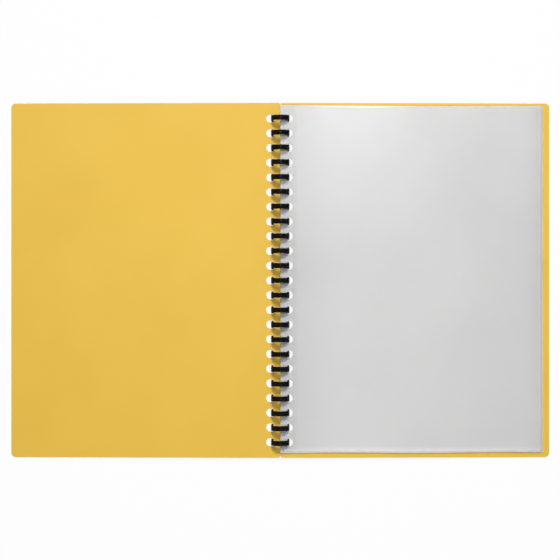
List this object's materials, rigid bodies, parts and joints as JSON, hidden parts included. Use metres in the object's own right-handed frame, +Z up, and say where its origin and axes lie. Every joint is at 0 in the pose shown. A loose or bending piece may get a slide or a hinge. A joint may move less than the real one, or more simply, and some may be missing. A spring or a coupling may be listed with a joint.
{
  "type": "clear pocket display book",
  "caption": "Ring-bound display book with yellow plastic covers and clear pockets for pages, lying open flat, that turn about a black plastic ring comb.",
  "frame": {"origin": "on the table, under the middle of the ring binding", "axes": "+X across the open book towards the pockets, +Y up the page towards the pocket mouths, +Z up from the table"},
  "size_m": [0.466, 0.3064, 0.0157],
  "materials": {
    "yellow_cover": "fine matt grain",
    "clear_film": "clear, slightly hazy film",
    "black_comb": "glossy moulded"
  },
  "bodies": {
    "back_cover": {"back_cover": "yellow_cover"},
    "front_cover": {"front_cover": "yellow_cover"},
    "ring_comb": {"comb_spine": "black_comb", "comb_fingers": "black_comb"},
    "pocket_01": {"pocket_01": "clear_film"},
    "pocket_02": {"pocket_02": "clear_film"},
    "pocket_03": {"pocket_03": "clear_film"},
    "pocket_04": {"pocket_04": "clear_film"},
    "pocket_05": {"pocket_05": "clear_film"},
    "pocket_06": {"pocket_06": "clear_film"},
    "pocket_07": {"pocket_07": "clear_film"},
    "pocket_08": {"pocket_08": "clear_film"},
    "pocket_09": {"pocket_09": "clear_film"},
    "pocket_10": {"pocket_10": "clear_film"},
    "pocket_11": {"pocket_11": "clear_film"},
    "pocket_12": {"pocket_12": "clear_film"},
    "pocket_13": {"pocket_13": "clear_film"},
    "pocket_14": {"pocket_14": "clear_film"},
    "pocket_15": {"pocket_15": "clear_film"},
    "pocket_16": {"pocket_16": "clear_film"},
    "pocket_17": {"pocket_17": "clear_film"},
    "pocket_18": {"pocket_18": "clear_film"},
    "pocket_19": {"pocket_19": "clear_film"},
    "pocket_20": {"pocket_20": "clear_film"}
  },
  "joints": [
    {"name": "front_cover_turn", "type": "hinge", "parent": "back_cover", "child": "front_cover", "pos_m": [0, 0, 0.0077], "axis": [0, 1, 0], "range_deg": [0, 182]},
    {"name": "ring_comb_roll", "type": "hinge", "parent": "back_cover", "child": "ring_comb", "pos_m": [0, 0, 0.0077], "axis": [0, 1, 0], "range_deg": [-15, 15]},
    {"name": "pocket_01_turn", "type": "hinge", "parent": "back_cover", "child": "pocket_01", "pos_m": [0, 0, 0.0077], "axis": [0, -1, 0], "range_deg": [0, 182]},
    {"name": "pocket_02_turn", "type": "hinge", "parent": "back_cover", "child": "pocket_02", "pos_m": [0, 0, 0.0077], "axis": [0, -1, 0], "range_deg": [0, 180.87]},
    {"name": "pocket_03_turn", "type": "hinge", "parent": "back_cover", "child": "pocket_03", "pos_m": [0, 0, 0.0077], "axis": [0, -1, 0], "range_deg": [0, 179.74]},
    {"name": "pocket_04_turn", "type": "hinge", "parent": "back_cover", "child": "pocket_04", "pos_m": [0, 0, 0.0077], "axis": [0, -1, 0], "range_deg": [0, 178.61]},
    {"name": "pocket_05_turn", "type": "hinge", "parent": "back_cover", "child": "pocket_05", "pos_m": [0, 0, 0.0077], "axis": [0, -1, 0], "range_deg": [0, 177.49]},
    {"name": "pocket_06_turn", "type": "hinge", "parent": "back_cover", "child": "pocket_06", "pos_m": [0, 0, 0.0077], "axis": [0, -1, 0], "range_deg": [0, 176.36]},
    {"name": "pocket_07_turn", "type": "hinge", "parent": "back_cover", "child": "pocket_07", "pos_m": [0, 0, 0.0077], "axis": [0, -1, 0], "range_deg": [0, 175.23]},
    {"name": "pocket_08_turn", "type": "hinge", "parent": "back_cover", "child": "pocket_08", "pos_m": [0, 0, 0.0077], "axis": [0, -1, 0], "range_deg": [0, 174.1]},
    {"name": "pocket_09_turn", "type": "hinge", "parent": "back_cover", "child": "pocket_09", "pos_m": [0, 0, 0.0077], "axis": [0, -1, 0], "range_deg": [0, 172.97]},
    {"name": "pocket_10_turn", "type": "hinge", "parent": "back_cover", "child": "pocket_10", "pos_m": [0, 0, 0.0077], "axis": [0, -1, 0], "range_deg": [0, 171.84]},
    {"name": "pocket_11_turn", "type": "hinge", "parent": "back_cover", "child": "pocket_11", "pos_m": [0, 0, 0.0077], "axis": [0, -1, 0], "range_deg": [0, 170.72]},
    {"name": "pocket_12_turn", "type": "hinge", "parent": "back_cover", "child": "pocket_12", "pos_m": [0, 0, 0.0077], "axis": [0, -1, 0], "range_deg": [0, 169.59]},
    {"name": "pocket_13_turn", "type": "hinge", "parent": "back_cover", "child": "pocket_13", "pos_m": [0, 0, 0.0077], "axis": [0, -1, 0], "range_deg": [0, 168.46]},
    {"name": "pocket_14_turn", "type": "hinge", "parent": "back_cover", "child": "pocket_14", "pos_m": [0, 0, 0.0077], "axis": [0, -1, 0], "range_deg": [0, 167.33]},
    {"name": "pocket_15_turn", "type": "hinge", "parent": "back_cover", "child": "pocket_15", "pos_m": [0, 0, 0.0077], "axis": [0, -1, 0], "range_deg": [0, 166.2]},
    {"name": "pocket_16_turn", "type": "hinge", "parent": "back_cover", "child": "pocket_16", "pos_m": [0, 0, 0.0077], "axis": [0, -1, 0], "range_deg": [0, 165.07]},
    {"name": "pocket_17_turn", "type": "hinge", "parent": "back_cover", "child": "pocket_17", "pos_m": [0, 0, 0.0077], "axis": [0, -1, 0], "range_deg": [0, 163.95]},
    {"name": "pocket_18_turn", "type": "hinge", "parent": "back_cover", "child": "pocket_18", "pos_m": [0, 0, 0.0077], "axis": [0, -1, 0], "range_deg": [0, 162.82]},
    {"name": "pocket_19_turn", "type": "hinge", "parent": "back_cover", "child": "pocket_19", "pos_m": [0, 0, 0.0077], "axis": [0, -1, 0], "range_deg": [0, 161.69]},
    {"name": "pocket_20_turn", "type": "hinge", "parent": "back_cover", "child": "pocket_20", "pos_m": [0, 0, 0.0077], "axis": [0, -1, 0], "range_deg": [0, 160.56]}
  ],
  "couplings": [
    {"joint": "pocket_02_turn", "follows": "pocket_01_turn", "ratio": 0.9938},
    {"joint": "pocket_03_turn", "follows": "pocket_01_turn", "ratio": 0.9876},
    {"joint": "pocket_04_turn", "follows": "pocket_01_turn", "ratio": 0.9814},
    {"joint": "pocket_05_turn", "follows": "pocket_01_turn", "ratio": 0.9752},
    {"joint": "pocket_06_turn", "follows": "pocket_01_turn", "ratio": 0.969},
    {"joint": "pocket_07_turn", "follows": "pocket_01_turn", "ratio": 0.9628},
    {"joint": "pocket_08_turn", "follows": "pocket_01_turn", "ratio": 0.9566},
    {"joint": "pocket_09_turn", "follows": "pocket_01_turn", "ratio": 0.9504},
    {"joint": "pocket_10_turn", "follows": "pocket_01_turn", "ratio": 0.9442},
    {"joint": "pocket_11_turn", "follows": "pocket_01_turn", "ratio": 0.938},
    {"joint": "pocket_12_turn", "follows": "pocket_01_turn", "ratio": 0.9318},
    {"joint": "pocket_13_turn", "follows": "pocket_01_turn", "ratio": 0.9256},
    {"joint": "pocket_14_turn", "follows": "pocket_01_turn", "ratio": 0.9194},
    {"joint": "pocket_15_turn", "follows": "pocket_01_turn", "ratio": 0.9132},
    {"joint": "pocket_16_turn", "follows": "pocket_01_turn", "ratio": 0.907},
    {"joint": "pocket_17_turn", "follows": "pocket_01_turn", "ratio": 0.9008},
    {"joint": "pocket_18_turn", "follows": "pocket_01_turn", "ratio": 0.8946},
    {"joint": "pocket_19_turn", "follows": "pocket_01_turn", "ratio": 0.8884},
    {"joint": "pocket_20_turn", "follows": "pocket_01_turn", "ratio": 0.8822}
  ]
}
